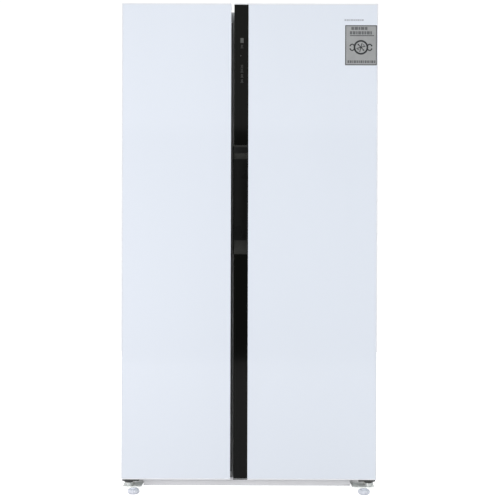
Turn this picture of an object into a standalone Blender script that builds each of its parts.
"""Side by side refrigerator: a foamed steel cabinet with a freezer on the left and a refrigerator
on the right, and two white glass doors that meet at a black strip with a recessed grip.

Metres, +Z up. The doors face -Y. The origin is on the floor, in the middle of the overall box.
Every sub-part is one object. A piece that moves is parented to an empty on its joint's axis.
"""

import math

import bmesh
import bpy
from mathutils import Matrix, Vector

# Driving sizes
WIDTH = 0.910
DEPTH = 0.700
HEIGHT = 1.761
DOOR_THICKNESS = 0.062
DOOR_BOTTOM = 0.067
SEAL_GAP = 0.010  # between the doors' backs and the cabinet's front
TOP_STEP = 0.014  # the cabinet's top is this far below the doors' tops
GAP = 0.0003  # between meshes that touch
SHEET = 0.0015
LINER_WALL = 0.002
GLASS = 0.0035
GLASS_FRONT = -DEPTH / 2 + 0.0004  # the frames' lips stand this proud of the glass
HALF = WIDTH / 2
FRONT = -DEPTH / 2
BACK = DEPTH / 2
DOOR_BACK = FRONT + DOOR_THICKNESS
CABINET_FRONT = DOOR_BACK + SEAL_GAP
CABINET_BACK = BACK - SHEET - GAP
CABINET_TOP = HEIGHT - TOP_STEP

# The doors' free edges, and the edge of the black strip on the right door
FREEZER_EDGE = -0.0665
FRIDGE_EDGE = -0.0558
STRIP_EDGE = -0.0054

# Hinge axes
HINGE_X = HALF - 0.024
HINGE_Y = FRONT + 0.033
PIN_RADIUS = 0.0048
HINGE_WALL = 0.0065  # the door frames' walls beside the hinges
BORE_RADIUS = 0.0054

# Compartments
FREEZER_X = (-HALF + 0.055, -0.098)
FRIDGE_X = (-0.021, HALF - 0.048)
CAVITY_TOP = CABINET_TOP - 0.050
CAVITY_FLOOR = 0.125
CAVITY_BACK = 0.290
STEP_TOP = 0.345  # the raised floor over the machine room
STEP_BACK = 0.075
MACHINE_FRONT = 0.130
MACHINE_HALF_WIDTH = 0.437
MACHINE_TOP = 0.300

# The cabinet's front face
FLANGE = 0.038
MULLION_X = (-0.0855, -0.0335)
SILL_TOP = 0.113

# Underside
CHASSIS_Z = (0.0383, 0.0403)
SHELL_BOTTOM = 0.0385
HINGE_PLATE_Z = (0.0340, 0.0380)
FOOT_X = 0.418
FOOT_Y = -0.290
FOOT_RADIUS = 0.0225
FOOT_HEIGHT = 0.018
STUD_RADIUS = 0.004
STUD_TOP = 0.054
ROLLER_X = 0.405
ROLLER_Y = 0.285
ROLLER_RADIUS = 0.018
ROLLER_HALF_WIDTH = 0.011
CHEEK = 0.003
AXLE_RADIUS = 0.004

# Shelves, drawers and bins
SHELF_HEIGHTS = (0.580, 0.900, 1.260)
SHELF_THICKNESS = 0.005
FREEZER_SHELF_Y = (-0.168, 0.208)
FRIDGE_SHELF_Y = (-0.168, 0.257)
DUCT_COVER_Y = (0.213, 0.216)
AIR_TOWER_Y = (0.262, CAVITY_BACK - 0.0008)
DRAWER_FRONT = -0.172
LOWER_DRAWER_Z = (0.1265, 0.333)
UPPER_DRAWER_Z = (0.350, 0.560)
DRAWER_WALL = 0.0025
FREEZER_DRAWER_INSET = 0.010  # between a drawer and its compartment's walls
CRISPER_INSET = 0.017
BIN_BACK = -0.180
BIN_HEIGHT = 0.100
FREEZER_BIN_HEIGHTS = (0.170, 0.700, 1.180)
FRIDGE_BIN_HEIGHTS = (0.170, 0.600, 0.980, 1.340)
DYKE_BACK = DOOR_BACK + 0.0403  # the raised rim of a door's liner
DYKE_WALL = 0.0155

# The recessed grip
CUP_Z = (0.8700, 1.2575)
CUP_BACK = -0.3165
CUP_FLOOR = -0.3195

# Fans
FAN_BLADES = 5
FREEZER_MIDDLE = (FREEZER_X[0] + FREEZER_X[1]) / 2
FREEZER_FAN = Vector((FREEZER_MIDDLE, 0.240, 1.120))
MACHINE_FAN = Vector((-0.020, 0.240, 0.165))

FINISHES = {  # colour, roughness, metallic
    "white_glass": ((0.78, 0.82, 0.89), 0.10, 0.0),
    "white_steel": ((0.80, 0.81, 0.82), 0.35, 0.0),
    "white_plastic": ((0.85, 0.86, 0.87), 0.40, 0.0),
    "grey_plastic": ((0.62, 0.63, 0.65), 0.50, 0.0),
    "black_plastic": ((0.02, 0.02, 0.02), 0.40, 0.0),
    "black_glass": ((0.01, 0.01, 0.01), 0.08, 0.0),
    "clear_plastic": ((0.80, 0.88, 0.92), 0.10, 0.0),
    "shelf_glass": ((0.75, 0.86, 0.84), 0.05, 0.0),
    "zinc": ((0.66, 0.69, 0.67), 0.35, 1.0),
    "foam": ((0.86, 0.78, 0.55), 0.90, 0.0),
    "seal": ((0.30, 0.31, 0.32), 0.70, 0.0),
    "black_enamel": ((0.03, 0.03, 0.03), 0.45, 0.0),
    "copper": ((0.72, 0.40, 0.26), 0.35, 1.0),
    "aluminium": ((0.75, 0.76, 0.78), 0.35, 1.0),
}


# Scene helpers


def clear_scene():
    for obj in list(bpy.data.objects):
        bpy.data.objects.remove(obj)


def make_collection(name):
    collection = bpy.data.collections.new(name)
    bpy.context.scene.collection.children.link(collection)
    return collection


def finish(name):
    """The material of that name, made the first time it is asked for."""
    material = bpy.data.materials.get(name)
    if material is None:
        colour, roughness, metallic = FINISHES[name]
        material = bpy.data.materials.new(name)
        material.use_nodes = True
        shader = material.node_tree.nodes["Principled BSDF"]
        shader.inputs["Base Color"].default_value = (*colour, 1.0)
        shader.inputs["Roughness"].default_value = roughness
        shader.inputs["Metallic"].default_value = metallic
    return material


def add(name, data, place=(0, 0, 0), material=None):
    """A new object in the parts' collection, or a cutter if it has no material."""
    obj = bpy.data.objects.new(name, data)
    obj.location = place
    if material:
        data.materials.append(finish(material))
        bpy.data.collections["refrigerator"].objects.link(obj)
    else:
        obj.hide_render = True
        obj.display_type = "WIRE"
        bpy.data.collections["cutters"].objects.link(obj)
    return obj


def span(a, b):
    return (min(a, b), max(a, b))


def box(name, x, y, z, material=None):
    """A box between two values along each axis."""
    size = Vector((x[1] - x[0], y[1] - y[0], z[1] - z[0]))
    centre = Vector((x[0] + x[1], y[0] + y[1], z[0] + z[1])) / 2
    mesh = bpy.data.meshes.new(name)
    shape = bmesh.new()
    bmesh.ops.create_cube(shape, size=1.0)
    bmesh.ops.scale(shape, vec=size, verts=shape.verts)
    shape.to_mesh(mesh)
    shape.free()
    return add(name, mesh, centre, material)


def cylinder(name, centre, radius, length, axis="Z", material=None, sides=24):
    """A cylinder about an axis through its centre. Two of its corners lie on the next axis."""
    turns = {"X": Matrix.Rotation(math.pi / 2, 3, "Y"), "Y": Matrix.Rotation(-math.pi / 2, 3, "X")}
    mesh = bpy.data.meshes.new(name)
    shape = bmesh.new()
    bmesh.ops.create_cone(
        shape, cap_ends=True, segments=sides, radius1=radius, radius2=radius, depth=length
    )
    if axis in turns:
        bmesh.ops.rotate(shape, cent=(0, 0, 0), matrix=turns[axis], verts=shape.verts)
    shape.to_mesh(mesh)
    shape.free()
    mesh.shade_smooth()
    mesh.set_sharp_from_angle(angle=math.radians(35))
    return add(name, mesh, centre, material)


def prism(name, outline, x, material=None):
    """An outline of (y, z) points, filled and extruded between two values of x."""
    curve = bpy.data.curves.new(name, "CURVE")
    curve.dimensions = "2D"
    curve.fill_mode = "BOTH"
    curve.extrude = (x[1] - x[0]) / 2
    spline = curve.splines.new("POLY")
    spline.points.add(len(outline) - 1)
    for point, (across, up) in zip(spline.points, outline):
        point.co = (across, up, 0, 1)
    spline.use_cyclic_u = True
    flat = bpy.data.objects.new(name + "_outline", curve)
    bpy.context.scene.collection.objects.link(flat)
    return meshed(name, flat, Matrix.Rotation(math.pi / 2, 4, "Z")
                  @ Matrix.Rotation(math.pi / 2, 4, "X"), ((x[0] + x[1]) / 2, 0, 0), material)


def meshed(name, curve_object, turn, place, material):
    """A curve object made into a closed mesh object. The curve is removed."""
    bpy.context.view_layer.update()
    evaluated = curve_object.evaluated_get(bpy.context.evaluated_depsgraph_get())
    mesh = bpy.data.meshes.new_from_object(evaluated)
    bpy.data.objects.remove(curve_object)
    shape = bmesh.new()
    shape.from_mesh(mesh)
    bmesh.ops.remove_doubles(shape, verts=shape.verts, dist=0.00005)
    bmesh.ops.transform(shape, matrix=turn, verts=shape.verts)
    bmesh.ops.recalc_face_normals(shape, faces=shape.faces)
    shape.to_mesh(mesh)
    shape.free()
    mesh.name = name
    return add(name, mesh, place, material)


def tube(name, points, radius, material, resolution=2):
    """A round tube along points."""
    curve = bpy.data.curves.new(name, "CURVE")
    curve.dimensions = "3D"
    curve.bevel_depth = radius
    curve.bevel_resolution = resolution
    curve.use_fill_caps = True
    spline = curve.splines.new("POLY")
    spline.points.add(len(points) - 1)
    for point, place in zip(spline.points, points):
        point.co = (*place, 1)
    return add(name, curve, material=material)


def turned(name, profile, place, material, steps=24):
    """A closed shape turned about Z from (radius, height) points that run down its outer side."""
    mesh = bpy.data.meshes.new(name)
    shape = bmesh.new()
    corners = [shape.verts.new((radius, 0, height)) for radius, height in profile]
    for first, second in zip(corners, corners[1:]):
        shape.edges.new((first, second))
    shape.to_mesh(mesh)
    shape.free()
    obj = add(name, mesh, place, material)
    screw = obj.modifiers.new("Turn", "SCREW")
    screw.axis = "Z"
    screw.steps = steps
    screw.render_steps = steps
    screw.use_merge_vertices = True
    screw.merge_threshold = 0.00005
    screw.use_smooth_shade = True
    return obj


def boolean(obj, operation, others):
    for other in others:
        if other.name in bpy.data.collections["refrigerator"].objects:
            raise ValueError(f"{other.name} is a part, so it can't be a cutter")
        modifier = obj.modifiers.new(operation.title(), "BOOLEAN")
        modifier.operation = operation
        modifier.solver = "EXACT"
        modifier.object = other
    return obj


def cut(obj, *cutters):
    return boolean(obj, "DIFFERENCE", cutters)


def join(obj, *others):
    return boolean(obj, "UNION", others)


def round_edges(obj, width, segments=1):
    bevel = obj.modifiers.new("Round", "BEVEL")
    bevel.width = width
    bevel.segments = segments
    bevel.limit_method = "ANGLE"
    bevel.angle_limit = math.radians(40)
    return obj


def on_axis(name, place, objects):
    """Parents objects to an empty on a joint's axis, and leaves them where they are."""
    empty = bpy.data.objects.new(name, None)
    empty.location = place
    empty.empty_display_size = 0.05
    bpy.data.collections["refrigerator"].objects.link(empty)
    for obj in objects:
        obj.parent = empty
        obj.matrix_parent_inverse = Matrix.Translation(-Vector(place))


# Cabinet


def stepped_outline(grow, front):
    """A compartment's section in (y, z): its floor steps up over the machine room."""
    floor, top = CAVITY_FLOOR - grow, CAVITY_TOP + grow
    step, low_back, back = STEP_TOP - grow, STEP_BACK + grow, CAVITY_BACK + grow
    return [(front, floor), (low_back, floor), (low_back, step), (back, step), (back, top),
            (front, top)]


def grown(x, amount):
    return (x[0] - amount, x[1] + amount)


def make_shell():
    shell = box("cabinet_shell", (-HALF, HALF), (CABINET_FRONT, CABINET_BACK),
                (SHELL_BOTTOM, CABINET_TOP), "white_steel")
    inside = box("shell_inside", grown((-HALF, HALF), -SHEET), (CABINET_FRONT + SHEET, 1),
                 (0, CABINET_TOP - SHEET))
    window = box("shell_window", grown((-HALF, HALF), -FLANGE), (-1, 0), (0, CABINET_TOP - FLANGE))
    cut(shell, inside, window)


def make_front_frame():
    """The steel strips between and below the compartments, which the seals grip."""
    face = (CABINET_FRONT, CABINET_FRONT + SHEET)
    frame = box("front_frame", MULLION_X, face, (SHELL_BOTTOM, CABINET_TOP - FLANGE - GAP),
                "white_steel")
    sill = box("front_sill", grown((-HALF, HALF), -FLANGE - GAP), face, (SHELL_BOTTOM, SILL_TOP))
    join(frame, sill)


def make_back_panel():
    panel = box("back_panel", grown((-HALF, HALF), -SHEET), (BACK - SHEET, BACK),
                (MACHINE_TOP + 0.004, CABINET_TOP - SHEET), "white_steel")
    round_edges(panel, 0.0004)


def switch_box(name, x, clearance, y, material=None):
    """The plunger of a door switch, or the hole for it, in the top of a compartment's rim."""
    middle = (CAVITY_TOP + CABINET_TOP - FLANGE) / 2
    return box(name, grown((x, x), 0.010 + clearance), y,
               grown((middle, middle), 0.0032 + clearance), material)


def make_foam():
    foam = box("cabinet_foam", grown((-HALF, HALF), -SHEET - GAP),
               (CABINET_FRONT + LINER_WALL + GAP, CABINET_BACK - GAP),
               (CHASSIS_Z[1] + GAP, CABINET_TOP - SHEET - GAP), "foam")
    around = LINER_WALL + GAP
    for name, x in (("freezer", FREEZER_X), ("fridge", FRIDGE_X)):
        outline = stepped_outline(around, -1)
        cut(foam, prism(name + "_foam_cutter", outline, grown(x, around)))
        cut(foam, switch_box(name + "_switch_pocket", (x[0] + x[1]) / 2, 0.001, (-1, -0.255)))
    machine_x = (-MACHINE_HALF_WIDTH, MACHINE_HALF_WIDTH)
    cut(foam, box("machine_room", machine_x, (MACHINE_FRONT, 1), (0, MACHINE_TOP)))


def make_liner(name, x, rim_x, shelf_y, drawer_y, drawer_inset):
    """A compartment's tub, with its rim, the ledges for its shelves and upper drawer, and a
    hole for the door switch."""
    liner = prism(name, stepped_outline(LINER_WALL, CABINET_FRONT + 0.001), grown(x, LINER_WALL),
                  "white_plastic")
    rim = box(name + "_rim", rim_x, (CABINET_FRONT, CABINET_FRONT + LINER_WALL),
              (SILL_TOP + GAP, CABINET_TOP - FLANGE - GAP))
    join(liner, rim)
    cut(liner, prism(name + "_inside", stepped_outline(0, -1), x))
    ledges = [(height - 0.0083, height - GAP, shelf_y, 0.010) for height in SHELF_HEIGHTS]
    ledges.append((STEP_TOP - 0.001, UPPER_DRAWER_Z[0] - GAP, drawer_y, drawer_inset + 0.008))
    for low, high, y, reach in ledges:
        for wall, inward in ((x[0], 1), (x[1], -1)):
            across = span(wall - inward * 0.001, wall + inward * reach)
            join(liner, box(f"{name}_ledge_{low:.3f}_{inward}", across, (y[0] + 0.030, y[1]),
                            (low, high)))
    middle = (x[0] + x[1]) / 2
    cut(liner, switch_box(name + "_switch_hole", middle, 0.0006, (-1, CABINET_FRONT + 0.004)))


def make_shelf(name, x, y, height, material="shelf_glass"):
    """A glass shelf with its front trim."""
    wide = grown(x, -0.0008)
    shelf = box(name, wide, y, (height, height + SHELF_THICKNESS), material)
    trim = box(name + "_trim", wide, (y[0] - 0.003, y[0] + 0.009),
               (height - 0.014, height + SHELF_THICKNESS + 0.003))
    join(shelf, trim)


def make_freezer_duct_cover():
    """The panel in front of the evaporator, with its slots and the fan's carrier behind it."""
    cover = box("freezer_duct_cover", grown(FREEZER_X, -0.0006), DUCT_COVER_Y,
                (STEP_TOP + 0.001, CAVITY_TOP - 0.001), "white_plastic")
    fan_x, fan_z = FREEZER_FAN.x, FREEZER_FAN.z
    bar_y = (0.2575, 0.2635)
    reach = 0.064
    parts = [box("fan_bar", (fan_x - reach, fan_x + reach), bar_y, (fan_z - 0.007, fan_z + 0.007)),
             cylinder("fan_motor_can", (fan_x, 0.2665, fan_z), 0.020, 0.018, "Y", sides=20)]
    for side in (-1, 1):
        x = fan_x + side * (reach - 0.003)
        parts.append(box(f"fan_post_{side}", (x - 0.003, x + 0.003), (0.2150, 0.2600),
                         (fan_z - 0.006, fan_z + 0.006)))
    join(cover, *parts)
    slots = [box(f"duct_slot_{row}", (fan_x - 0.060, fan_x + 0.060), (0.20, 0.2565),
                 (low, low + 0.008))
             for row, low in enumerate((1.480, 1.500, 1.520, 0.700, 0.720, 0.740))]
    cut(cover, *slots)


def make_air_tower():
    """The duct that carries cold air up the back of the refrigerator."""
    middle = (FRIDGE_X[0] + FRIDGE_X[1]) / 2
    tower = box("refrigerator_air_tower", (middle - 0.100, middle + 0.100), AIR_TOWER_Y, (0.605, 1.660),
                "white_plastic")
    slots = [box(f"tower_slot_{side}_{height:.2f}", grown((middle + side * 0.055,) * 2, 0.030),
                 (0.20, AIR_TOWER_Y[0] + 0.012), (height, height + 0.007))
             for height in (0.76, 1.08, 1.42, 1.58) for side in (-1, 1)]
    cut(tower, *slots)


def serpentine(low, high, rows, radius):
    """Points of a flat coil in the plane y = 0: rows of tube along x joined by half circles."""
    bend_steps = 4
    points = []
    for row in range(rows):
        height = 2 * radius * row
        ends = (low, high) if row % 2 == 0 else (high, low)
        points += [(ends[0], 0, height), (ends[1], 0, height)]
        if row < rows - 1:
            outward = 1 if row % 2 == 0 else -1
            for step in range(1, bend_steps):
                angle = math.pi * step / bend_steps
                points.append((ends[1] + outward * radius * math.sin(angle), 0,
                               height + radius * (1 - math.cos(angle))))
    return points


def make_coils():
    evaporator = tube("evaporator_coil", serpentine(-0.120, 0.120, 7, 0.024), 0.004, "aluminium", 1)
    evaporator.location = (FREEZER_MIDDLE, 0.252, 0.640)
    condenser = tube("condenser_coil", serpentine(-0.115, 0.115, 6, 0.016), 0.003, "black_enamel", 1)
    condenser.location = (-0.265, 0.245, 0.095)


def make_compressor():
    """A hermetic can on a mounting plate."""
    rim = 0.078
    profile = [(0, 0.170), (0.040, 0.166), (0.066, 0.150), (rim - 0.004, 0.120), (rim, 0.092),
               (rim, 0.086), (rim - 0.004, 0.080), (rim - 0.006, 0.030), (0.055, 0.010), (0, 0.006)]
    can = turned("compressor", profile, (0.250, 0.238, 0.045), "black_enamel")
    plate = box("compressor_plate", (0.150, 0.350), (0.168, 0.308), (0.049, 0.055))
    feet = [cylinder(f"compressor_foot_{x:.2f}_{y:.2f}", (x, y, 0.0485), 0.011, 0.0125, sides=12)
            for x in (0.165, 0.335) for y in (0.183, 0.293)]
    join(can, plate, *feet)


def make_drain_pan():
    outer_x, outer_y = (-0.420, -0.120), (0.160, 0.335)
    pan = box("drain_pan", outer_x, outer_y, (0.0425, 0.072), "black_plastic")
    cut(pan, box("pan_inside", grown(outer_x, -0.002), grown(outer_y, -0.002), (0.0445, 0.1)))


def make_machine_cover():
    """The louvred cover of the machine room, with the inlet bush for the mains lead."""
    cover = box("machine_room_cover", grown((-HALF, HALF), -SHEET - 0.002), (BACK - SHEET, BACK),
                (CHASSIS_Z[1] + 0.001, MACHINE_TOP + 0.002), "black_plastic")
    inlet = (0.400, BACK - 0.005, 0.085)
    join(cover, cylinder("inlet_bush", inlet, 0.012, 0.0098, "Y", sides=20))
    cut(cover, cylinder("inlet_hole", inlet, 0.005, 0.04, "Y", sides=16))
    columns, rows = (-0.36, -0.20, -0.04, 0.12, 0.28), 5
    cut(cover, *[box(f"louvre_{column:.2f}_{row}", (column, column + 0.11), (0.3, 0.4),
                     (0.120 + 0.030 * row, 0.128 + 0.030 * row))
                 for column in columns for row in range(rows)])


def fan_wheel(name, radius, hub_radius, width, material):
    """A fan wheel about its own Z axis, with flat pitched blades."""
    wheel = cylinder(name, (0, 0, 0), hub_radius, width, material=material, sides=20)
    for number in range(FAN_BLADES):
        blade = box(f"{name}_blade_{number}", (-0.0007, 0.0007), (hub_radius - 0.003, radius),
                    (-width * 0.62, width * 0.62))
        turn = Matrix.Rotation(math.tau * number / FAN_BLADES, 4, "Z")
        pitch = Matrix.Rotation(math.radians(55), 4, "Y")
        blade.data.transform(Matrix.Translation(blade.location))
        blade.data.transform(turn @ pitch)
        blade.location = (0, 0, 0)
        join_parented(wheel, blade)
    return wheel


def join_parented(obj, other):
    """Joins a shape that turns with obj."""
    join(obj, other)
    other.parent = obj


def make_fans():
    freezer_fan = fan_wheel("evaporator_fan", 0.052, 0.016, 0.018, "white_plastic")
    freezer_fan.rotation_euler = (math.pi / 2, 0, 0)
    freezer_fan.location = FREEZER_FAN
    machine_fan = fan_wheel("condenser_fan", 0.062, 0.018, 0.022, "black_plastic")
    machine_fan.rotation_euler = (0, math.pi / 2, 0)
    machine_fan.location = MACHINE_FAN
    post_x = (MACHINE_FAN.x + 0.022, MACHINE_FAN.x + 0.042)
    motor = cylinder("condenser_fan_motor", MACHINE_FAN + Vector((0.032, 0, 0)), 0.024, 0.036, "X",
                     "zinc", 20)
    post = box("motor_post", post_x, grown((MACHINE_FAN.y,) * 2, 0.010),
               (CHASSIS_Z[1] + GAP, MACHINE_FAN.z - 0.010))
    foot = box("motor_foot", grown(post_x, 0.010), grown((MACHINE_FAN.y,) * 2, 0.030),
               (CHASSIS_Z[1] + GAP, CHASSIS_Z[1] + 0.003))
    join(motor, post, foot)


# Underside


def make_chassis():
    """The bottom plate, with a pair of cheeks for each rear roller."""
    plate = box("chassis", grown((-HALF, HALF), -SHEET - GAP),
                (CABINET_FRONT + SHEET + GAP, CABINET_BACK - GAP), CHASSIS_Z, "zinc")
    for side in (-1, 1):
        for face in (-1, 1):
            near = side * ROLLER_X + face * (ROLLER_HALF_WIDTH + 0.0012)
            join(plate, box(f"cheek_{side}_{face}", span(near, near + face * CHEEK),
                            (ROLLER_Y - 0.018, ROLLER_Y + 0.018), (0.008, CHASSIS_Z[0] + 0.001)))
        cut(plate, cylinder(f"axle_hole_{side}", (side * ROLLER_X, ROLLER_Y, ROLLER_RADIUS),
                            AXLE_RADIUS + 0.0005, 0.06, "X", sides=16))


def make_roller(side):
    name = "rear_roller_left" if side < 0 else "rear_roller_right"
    centre = (side * ROLLER_X, ROLLER_Y, ROLLER_RADIUS)
    roller = cylinder(name, centre, ROLLER_RADIUS, 2 * ROLLER_HALF_WIDTH, "X", "grey_plastic", 32)
    axle = cylinder(name + "_axle", (0, 0, 0), AXLE_RADIUS, 2 * (ROLLER_HALF_WIDTH + CHEEK + 0.003), "X",
                    sides=16)
    join_parented(roller, axle)


def make_foot(side):
    """A levelling foot: a ribbed disc on a threaded stud."""
    name = "levelling_foot_left" if side < 0 else "levelling_foot_right"
    half = FOOT_HEIGHT / 2
    foot = cylinder(name, (side * FOOT_X, FOOT_Y, half), FOOT_RADIUS, FOOT_HEIGHT,
                    material="grey_plastic", sides=32)
    stud = cylinder(name + "_stud", (0, 0, STUD_TOP / 2 - half), STUD_RADIUS, STUD_TOP, sides=16)
    collar = cylinder(name + "_collar", (0, 0, half + 0.002), 0.011, 0.008, sides=6)
    for extra in (collar, stud):
        join_parented(foot, extra)


def make_kick_plate(x):
    """A channel-shaped strip across the base, between the lower hinges."""
    front, back, low, high, wall = -0.294, -0.2785, 0.031, 0.062, 0.0025
    outline = [(back, low), (front, low), (front, high), (back, high), (back, high - wall),
               (front + wall, high - wall), (front + wall, low + wall), (back, low + wall)]
    prism("kick_plate", outline, x, "grey_plastic")


def make_lower_hinge(side, reach):
    """A plate under the cabinet's front corner. It holds the foot and the door's lower pin."""
    name = "lower_hinge_left" if side < 0 else "lower_hinge_right"
    x = span(side * (HALF - 0.003), side * reach)
    plate = box(name, x, (-0.334, -0.200), HINGE_PLATE_Z, "zinc")
    collar = cylinder(name + "_collar", (side * HINGE_X, HINGE_Y, 0.043), 0.010, 0.012)
    pin = cylinder(name + "_pin", (side * HINGE_X, HINGE_Y, 0.0625), PIN_RADIUS, 0.052, sides=20)
    cut(plate, cylinder(name + "_stud_hole", (side * FOOT_X, FOOT_Y, 0.036), STUD_RADIUS + 0.0006, 0.02,
                        sides=16))
    join(plate, collar, pin)


def make_upper_hinge(side):
    """A plate on the cabinet's top, whose arm carries the pin that drops into the door."""
    name = "upper_hinge_left" if side < 0 else "upper_hinge_right"
    z = (CABINET_TOP + GAP, CABINET_TOP + GAP + 0.003)
    axis = side * HINGE_X
    plate = box(name, span(side * (HALF - 0.006), side * (HALF - 0.070)), (-0.270, -0.185), z, "zinc")
    arm = box(name + "_arm", grown((axis, axis), 0.0065), (HINGE_Y, -0.250), z)
    tip = cylinder(name + "_tip", (axis, HINGE_Y, (z[0] + z[1]) / 2), 0.008, z[1] - z[0], sides=20)
    pin = cylinder(name + "_pin", (axis, HINGE_Y, z[1] - 0.0125), PIN_RADIUS, 0.024, sides=20)
    join(plate, arm, tip, pin)


def make_hinge_cover(side):
    name = "hinge_cover_left" if side < 0 else "hinge_cover_right"
    x = span(side * (HALF - 0.0015), side * (HALF - 0.082))
    y = (CABINET_FRONT + 0.001, -0.170)
    cover = box(name, x, y, (CABINET_TOP + GAP, HEIGHT - 0.001), "white_plastic")
    round_edges(cover, 0.0025, 2)
    cut(cover, box(name + "_inside", grown(x, -0.002), (-0.30, y[1] - 0.002), (1.70, HEIGHT - 0.003)))


# Doors


def door_box(name, side, free_edge, insets, y, z, material=None):
    """A box as wide as a door, less an inset at its hinge side and one at its free edge."""
    at_hinge, at_edge = insets
    x = span(side * (HALF - at_hinge), free_edge + side * at_edge)
    return box(name, x, y, z, material)


def make_door_frame(name, side, free_edge, edge_wall, cup=None):
    """The frame round a door's foam: the hinge side, the free side and the two end caps."""
    frame = door_box(name, side, free_edge, (0, 0), (FRONT, DOOR_BACK), (DOOR_BOTTOM, HEIGHT),
                     "white_plastic")
    axis = side * HINGE_X
    glass_bed = door_box(name + "_glass_bed", side, free_edge, (0.0035, -0.01),
                         (FRONT - 0.01, FRONT + GLASS + GAP), (DOOR_BOTTOM + 0.0035, HEIGHT - 0.0040))
    core = door_box(name + "_core", side, free_edge, (HINGE_WALL, edge_wall), (-1, 0),
                    (DOOR_BOTTOM + 0.028, HEIGHT - 0.041))
    recess = box(name + "_recess", span(side, side * (HINGE_X - 0.014)), (HINGE_Y - 0.024, 0),
                 (HEIGHT - 0.0175, 2))
    top_bore = cylinder(name + "_top_bore", (axis, HINGE_Y, HEIGHT - 0.0265), BORE_RADIUS, 0.020,
                        sides=20)
    low_bore = cylinder(name + "_low_bore", (axis, HINGE_Y, DOOR_BOTTOM + 0.010), BORE_RADIUS, 0.028,
                        sides=20)
    cut(frame, glass_bed, core, recess, top_bore, low_bore)
    if cup:
        cut(frame, cup)
    return frame


def make_door_foam(name, side, free_edge, edge_wall):
    return door_box(name, side, free_edge, (HINGE_WALL + GAP, edge_wall + GAP),
                    (FRONT + GLASS + 2 * GAP, DOOR_BACK - GAP),
                    (DOOR_BOTTOM + 0.028 + GAP, HEIGHT - 0.041 - GAP), "foam")


def dyke_span(side, x):
    """The outer width of the rim that a door's liner raises into its compartment."""
    return (x[0] + 0.014, x[1] - 0.022) if side < 0 else (x[0] + 0.015, x[1] - 0.021)


def make_door_liner(name, side, free_edge, x):
    """The door's inner panel, with the raised rim that holds its bins."""
    z = (CAVITY_FLOOR + 0.012, CAVITY_TOP - 0.012)
    y = (DOOR_BACK + GAP, DOOR_BACK + GAP + LINER_WALL)
    panel = door_box(name, side, free_edge, (0.0060, 0.0025), y, (DOOR_BOTTOM + 0.015, HEIGHT - 0.018),
                     "white_plastic")
    dyke = dyke_span(side, x)
    rim = box(name + "_rim", dyke, (y[0], DYKE_BACK), z)
    hollow = box(name + "_hollow", grown(dyke, -DYKE_WALL), (y[1], 0), grown(z, -DYKE_WALL))
    join(panel, rim)
    cut(panel, hollow)


def make_gasket(name, side, free_edge):
    """The magnetic seal: a ring on the edge of the door's liner."""
    y = (DOOR_BACK + GAP + LINER_WALL + GAP, CABINET_FRONT - 0.001)
    z = (DOOR_BOTTOM + 0.020, HEIGHT - 0.020)
    ring = door_box(name, side, free_edge, (0.018, 0.008), y, z, "seal")
    cut(ring, door_box(name + "_middle", side, free_edge, (0.038, 0.028), (-1, 0), grown(z, -0.020)))


def make_bin(name, x, low, height=BIN_HEIGHT):
    """A clear tray on the door, open at the top."""
    wall = 0.0025
    y = (DOOR_BACK + GAP + LINER_WALL + GAP, BIN_BACK)
    tray = box(name, x, y, (low, low + height), "clear_plastic")
    cut(tray, box(name + "_inside", grown(x, -wall), grown(y, -wall), (low + wall, 2)))
    return tray


def make_bins(prefix, side, x, heights):
    wide = grown(dyke_span(side, x), -DYKE_WALL - 0.0005)
    return [make_bin(f"{prefix}_{number}", wide, low) for number, low in enumerate(heights, 1)]


def make_grip_trim():
    """The black strip down the freezer door's free edge, grooved for the fingers."""
    x = (FREEZER_EDGE - 0.0140, FREEZER_EDGE - 0.0015)
    trim = box("freezer_grip_trim", x, (FRONT + GLASS + 2 * GAP, DOOR_BACK - 0.0005),
               (DOOR_BOTTOM + 0.0050, HEIGHT - 0.0080), "black_plastic")
    groove_z = (DOOR_BOTTOM + 0.020, HEIGHT - 0.020)
    cut(trim, box("grip_groove", (x[0] + 0.003, 0), (-0.3380, -0.3120), groove_z))


def cup_room(name):
    """The room that the recessed grip takes in the refrigerator's door."""
    return box(name, (-0.0610, 0.0115), (FRONT - 0.001, CUP_BACK + GAP), grown(CUP_Z, GAP))


def make_handle_cup():
    """The recessed grip. Its floor reaches into the gap between the doors, and it is undercut
    behind the white glass."""
    rim = 0.0074
    edge = FRIDGE_EDGE + 0.0005
    body = box("handle_cup", (edge, 0.0110), (FRONT + GLASS + 0.0007, CUP_BACK), CUP_Z, "black_plastic")
    face = box("cup_face", (edge, -rim - GAP), (FRONT, -0.3440), CUP_Z)
    floor = box("cup_floor", (-0.0597, -0.0500), (CUP_FLOOR, CUP_BACK), CUP_Z)
    join(body, face, floor)
    low, high = CUP_Z
    mouth = [(FRONT - 0.005, low + 0.0020), (CUP_FLOOR, low + 0.0500), (CUP_FLOOR, high - 0.0460),
             (-0.3380, high - 0.0285), (FRONT - 0.005, high - 0.0285)]
    cut(body, prism("cup_mouth", mouth, (-0.0570, -rim - 0.002)),
        box("cup_undercut", (-0.0570, 0.0085), (-0.3385, CUP_FLOOR), (low + 0.055, high - 0.052)))


def make_centre_strip():
    """The black glass strip on the refrigerator's door. A notch takes the grip."""
    strip = box("centre_strip", (FRIDGE_EDGE, STRIP_EDGE), (FRONT + 0.0012, FRONT + GLASS),
                (DOOR_BOTTOM + 0.0042, HEIGHT - 0.0045), "black_glass")
    cut(strip, box("strip_notch", (-1, -0.0074), (-1, 0), grown(CUP_Z, GAP)))


def make_door_glass(name, x):
    z = (DOOR_BOTTOM + 0.0038, HEIGHT - 0.0043)
    glass = box(name, x, (GLASS_FRONT, FRONT + GLASS), z, "white_glass")
    round_edges(glass, 0.0006)


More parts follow.
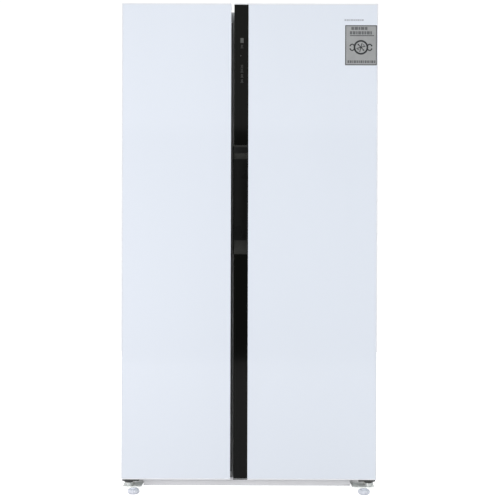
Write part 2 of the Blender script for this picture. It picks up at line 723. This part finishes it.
def make_freezer_door():
    edge_wall = 0.0168
    frame = make_door_frame("freezer_door_frame", -1, FREEZER_EDGE, edge_wall)
    bed_z = (DOOR_BOTTOM + 0.0045, HEIGHT - 0.0075)
    cut(frame, box("grip_bed", (FREEZER_EDGE - 0.0143, 0), (-1, 0), bed_z))
    make_door_foam("freezer_door_foam", -1, FREEZER_EDGE, edge_wall)
    make_door_glass("freezer_door_glass", (-HALF + 0.0038, FREEZER_EDGE))
    make_door_liner("freezer_door_liner", -1, FREEZER_EDGE, FREEZER_X)
    make_gasket("freezer_door_gasket", -1, FREEZER_EDGE)
    make_grip_trim()
    make_bins("freezer_bin", -1, FREEZER_X, FREEZER_BIN_HEIGHTS)


def make_fridge_door():
    edge_wall = 0.0030
    make_door_frame("refrigerator_door_frame", 1, FRIDGE_EDGE, edge_wall, cup_room("frame_cup_room"))
    foam = make_door_foam("refrigerator_door_foam", 1, FRIDGE_EDGE, edge_wall)
    cut(foam, cup_room("foam_cup_room"))
    make_door_glass("refrigerator_door_glass", (STRIP_EDGE + GAP, HALF - 0.0038))
    make_door_liner("refrigerator_door_liner", 1, FRIDGE_EDGE, FRIDGE_X)
    make_gasket("refrigerator_door_gasket", 1, FRIDGE_EDGE)
    make_handle_cup()
    make_centre_strip()
    make_bins("refrigerator_bin", 1, FRIDGE_X, FRIDGE_BIN_HEIGHTS)


# Drawers and switches


def make_drawer(name, wide, back, z):
    """A tub with a thicker front, which has a groove for the fingers."""
    y = (DRAWER_FRONT, back)
    front_wall = 0.012
    drawer = box(name, wide, y, z, "clear_plastic")
    inside = box(name + "_inside", grown(wide, -DRAWER_WALL), (y[0] + front_wall, y[1] - DRAWER_WALL),
                 (z[0] + DRAWER_WALL, 2))
    grip = box(name + "_grip", grown(wide, -0.060), (y[0] - 0.010, y[0] + 0.008),
               (z[1] - 0.030, z[1] - 0.008))
    cut(drawer, inside, grip)


def make_drawers():
    freezer = grown(FREEZER_X, -FREEZER_DRAWER_INSET)
    crisper = grown(FRIDGE_X, -CRISPER_INSET)
    for prefix, wide, deep in (("freezer_drawer", freezer, DUCT_COVER_Y[0] - 0.006),
                               ("crisper_drawer", crisper, CAVITY_BACK - 0.010)):
        make_drawer(prefix + "_lower", wide, STEP_BACK - 0.006, LOWER_DRAWER_Z)
        make_drawer(prefix + "_upper", wide, deep, UPPER_DRAWER_Z)


def make_switches():
    """The door switches' plungers, held in by the closed doors."""
    for name, x in (("freezer_door_switch", FREEZER_X), ("refrigerator_door_switch", FRIDGE_X)):
        middle = (x[0] + x[1]) / 2
        switch_box(name, middle, 0, (DOOR_BACK + 0.0028, -0.262), "white_plastic")


def make_shelves():
    for number, height in enumerate(SHELF_HEIGHTS, 1):
        make_shelf(f"freezer_shelf_{number}", FREEZER_X, FREEZER_SHELF_Y, height)
        make_shelf(f"refrigerator_shelf_{number}", FRIDGE_X, FRIDGE_SHELF_Y, height)


def parts_named(*starts):
    return [obj for obj in bpy.data.collections["refrigerator"].objects if obj.name.startswith(starts)]


def set_axes():
    """Puts each door on an empty on its hinge's axis."""
    freezer = parts_named("freezer_door_frame", "freezer_door_foam", "freezer_door_glass",
                          "freezer_door_liner", "freezer_door_gasket", "freezer_grip", "freezer_bin")
    fridge = parts_named("refrigerator_door_frame", "refrigerator_door_foam",
                         "refrigerator_door_glass", "refrigerator_door_liner",
                         "refrigerator_door_gasket", "handle_cup", "centre_strip",
                         "refrigerator_bin")
    on_axis("freezer_door_axis", (-HINGE_X, HINGE_Y, 0), freezer)
    on_axis("refrigerator_door_axis", (HINGE_X, HINGE_Y, 0), fridge)


def main():
    clear_scene()
    make_collection("refrigerator")
    make_collection("cutters")
    make_shell()
    make_front_frame()
    make_back_panel()
    make_foam()
    left_rim = (-HALF + FLANGE + GAP, MULLION_X[0] - GAP)
    right_rim = (MULLION_X[1] + GAP, HALF - FLANGE - GAP)
    make_liner("freezer_liner", FREEZER_X, left_rim, FREEZER_SHELF_Y, (DRAWER_FRONT, 0.200),
               FREEZER_DRAWER_INSET)
    make_liner("refrigerator_liner", FRIDGE_X, right_rim, FRIDGE_SHELF_Y, (DRAWER_FRONT, 0.270),
               CRISPER_INSET)
    make_shelves()
    make_freezer_duct_cover()
    make_air_tower()
    make_coils()
    make_compressor()
    make_drain_pan()
    make_machine_cover()
    make_fans()
    make_chassis()
    make_kick_plate((-0.3815, 0.3675))
    for side, reach in ((-1, 0.384), (1, 0.370)):
        make_lower_hinge(side, reach)
        make_upper_hinge(side)
        make_hinge_cover(side)
        make_roller(side)
        make_foot(side)
    make_drawers()
    make_switches()
    make_freezer_door()
    make_fridge_door()
    set_axes()


main()
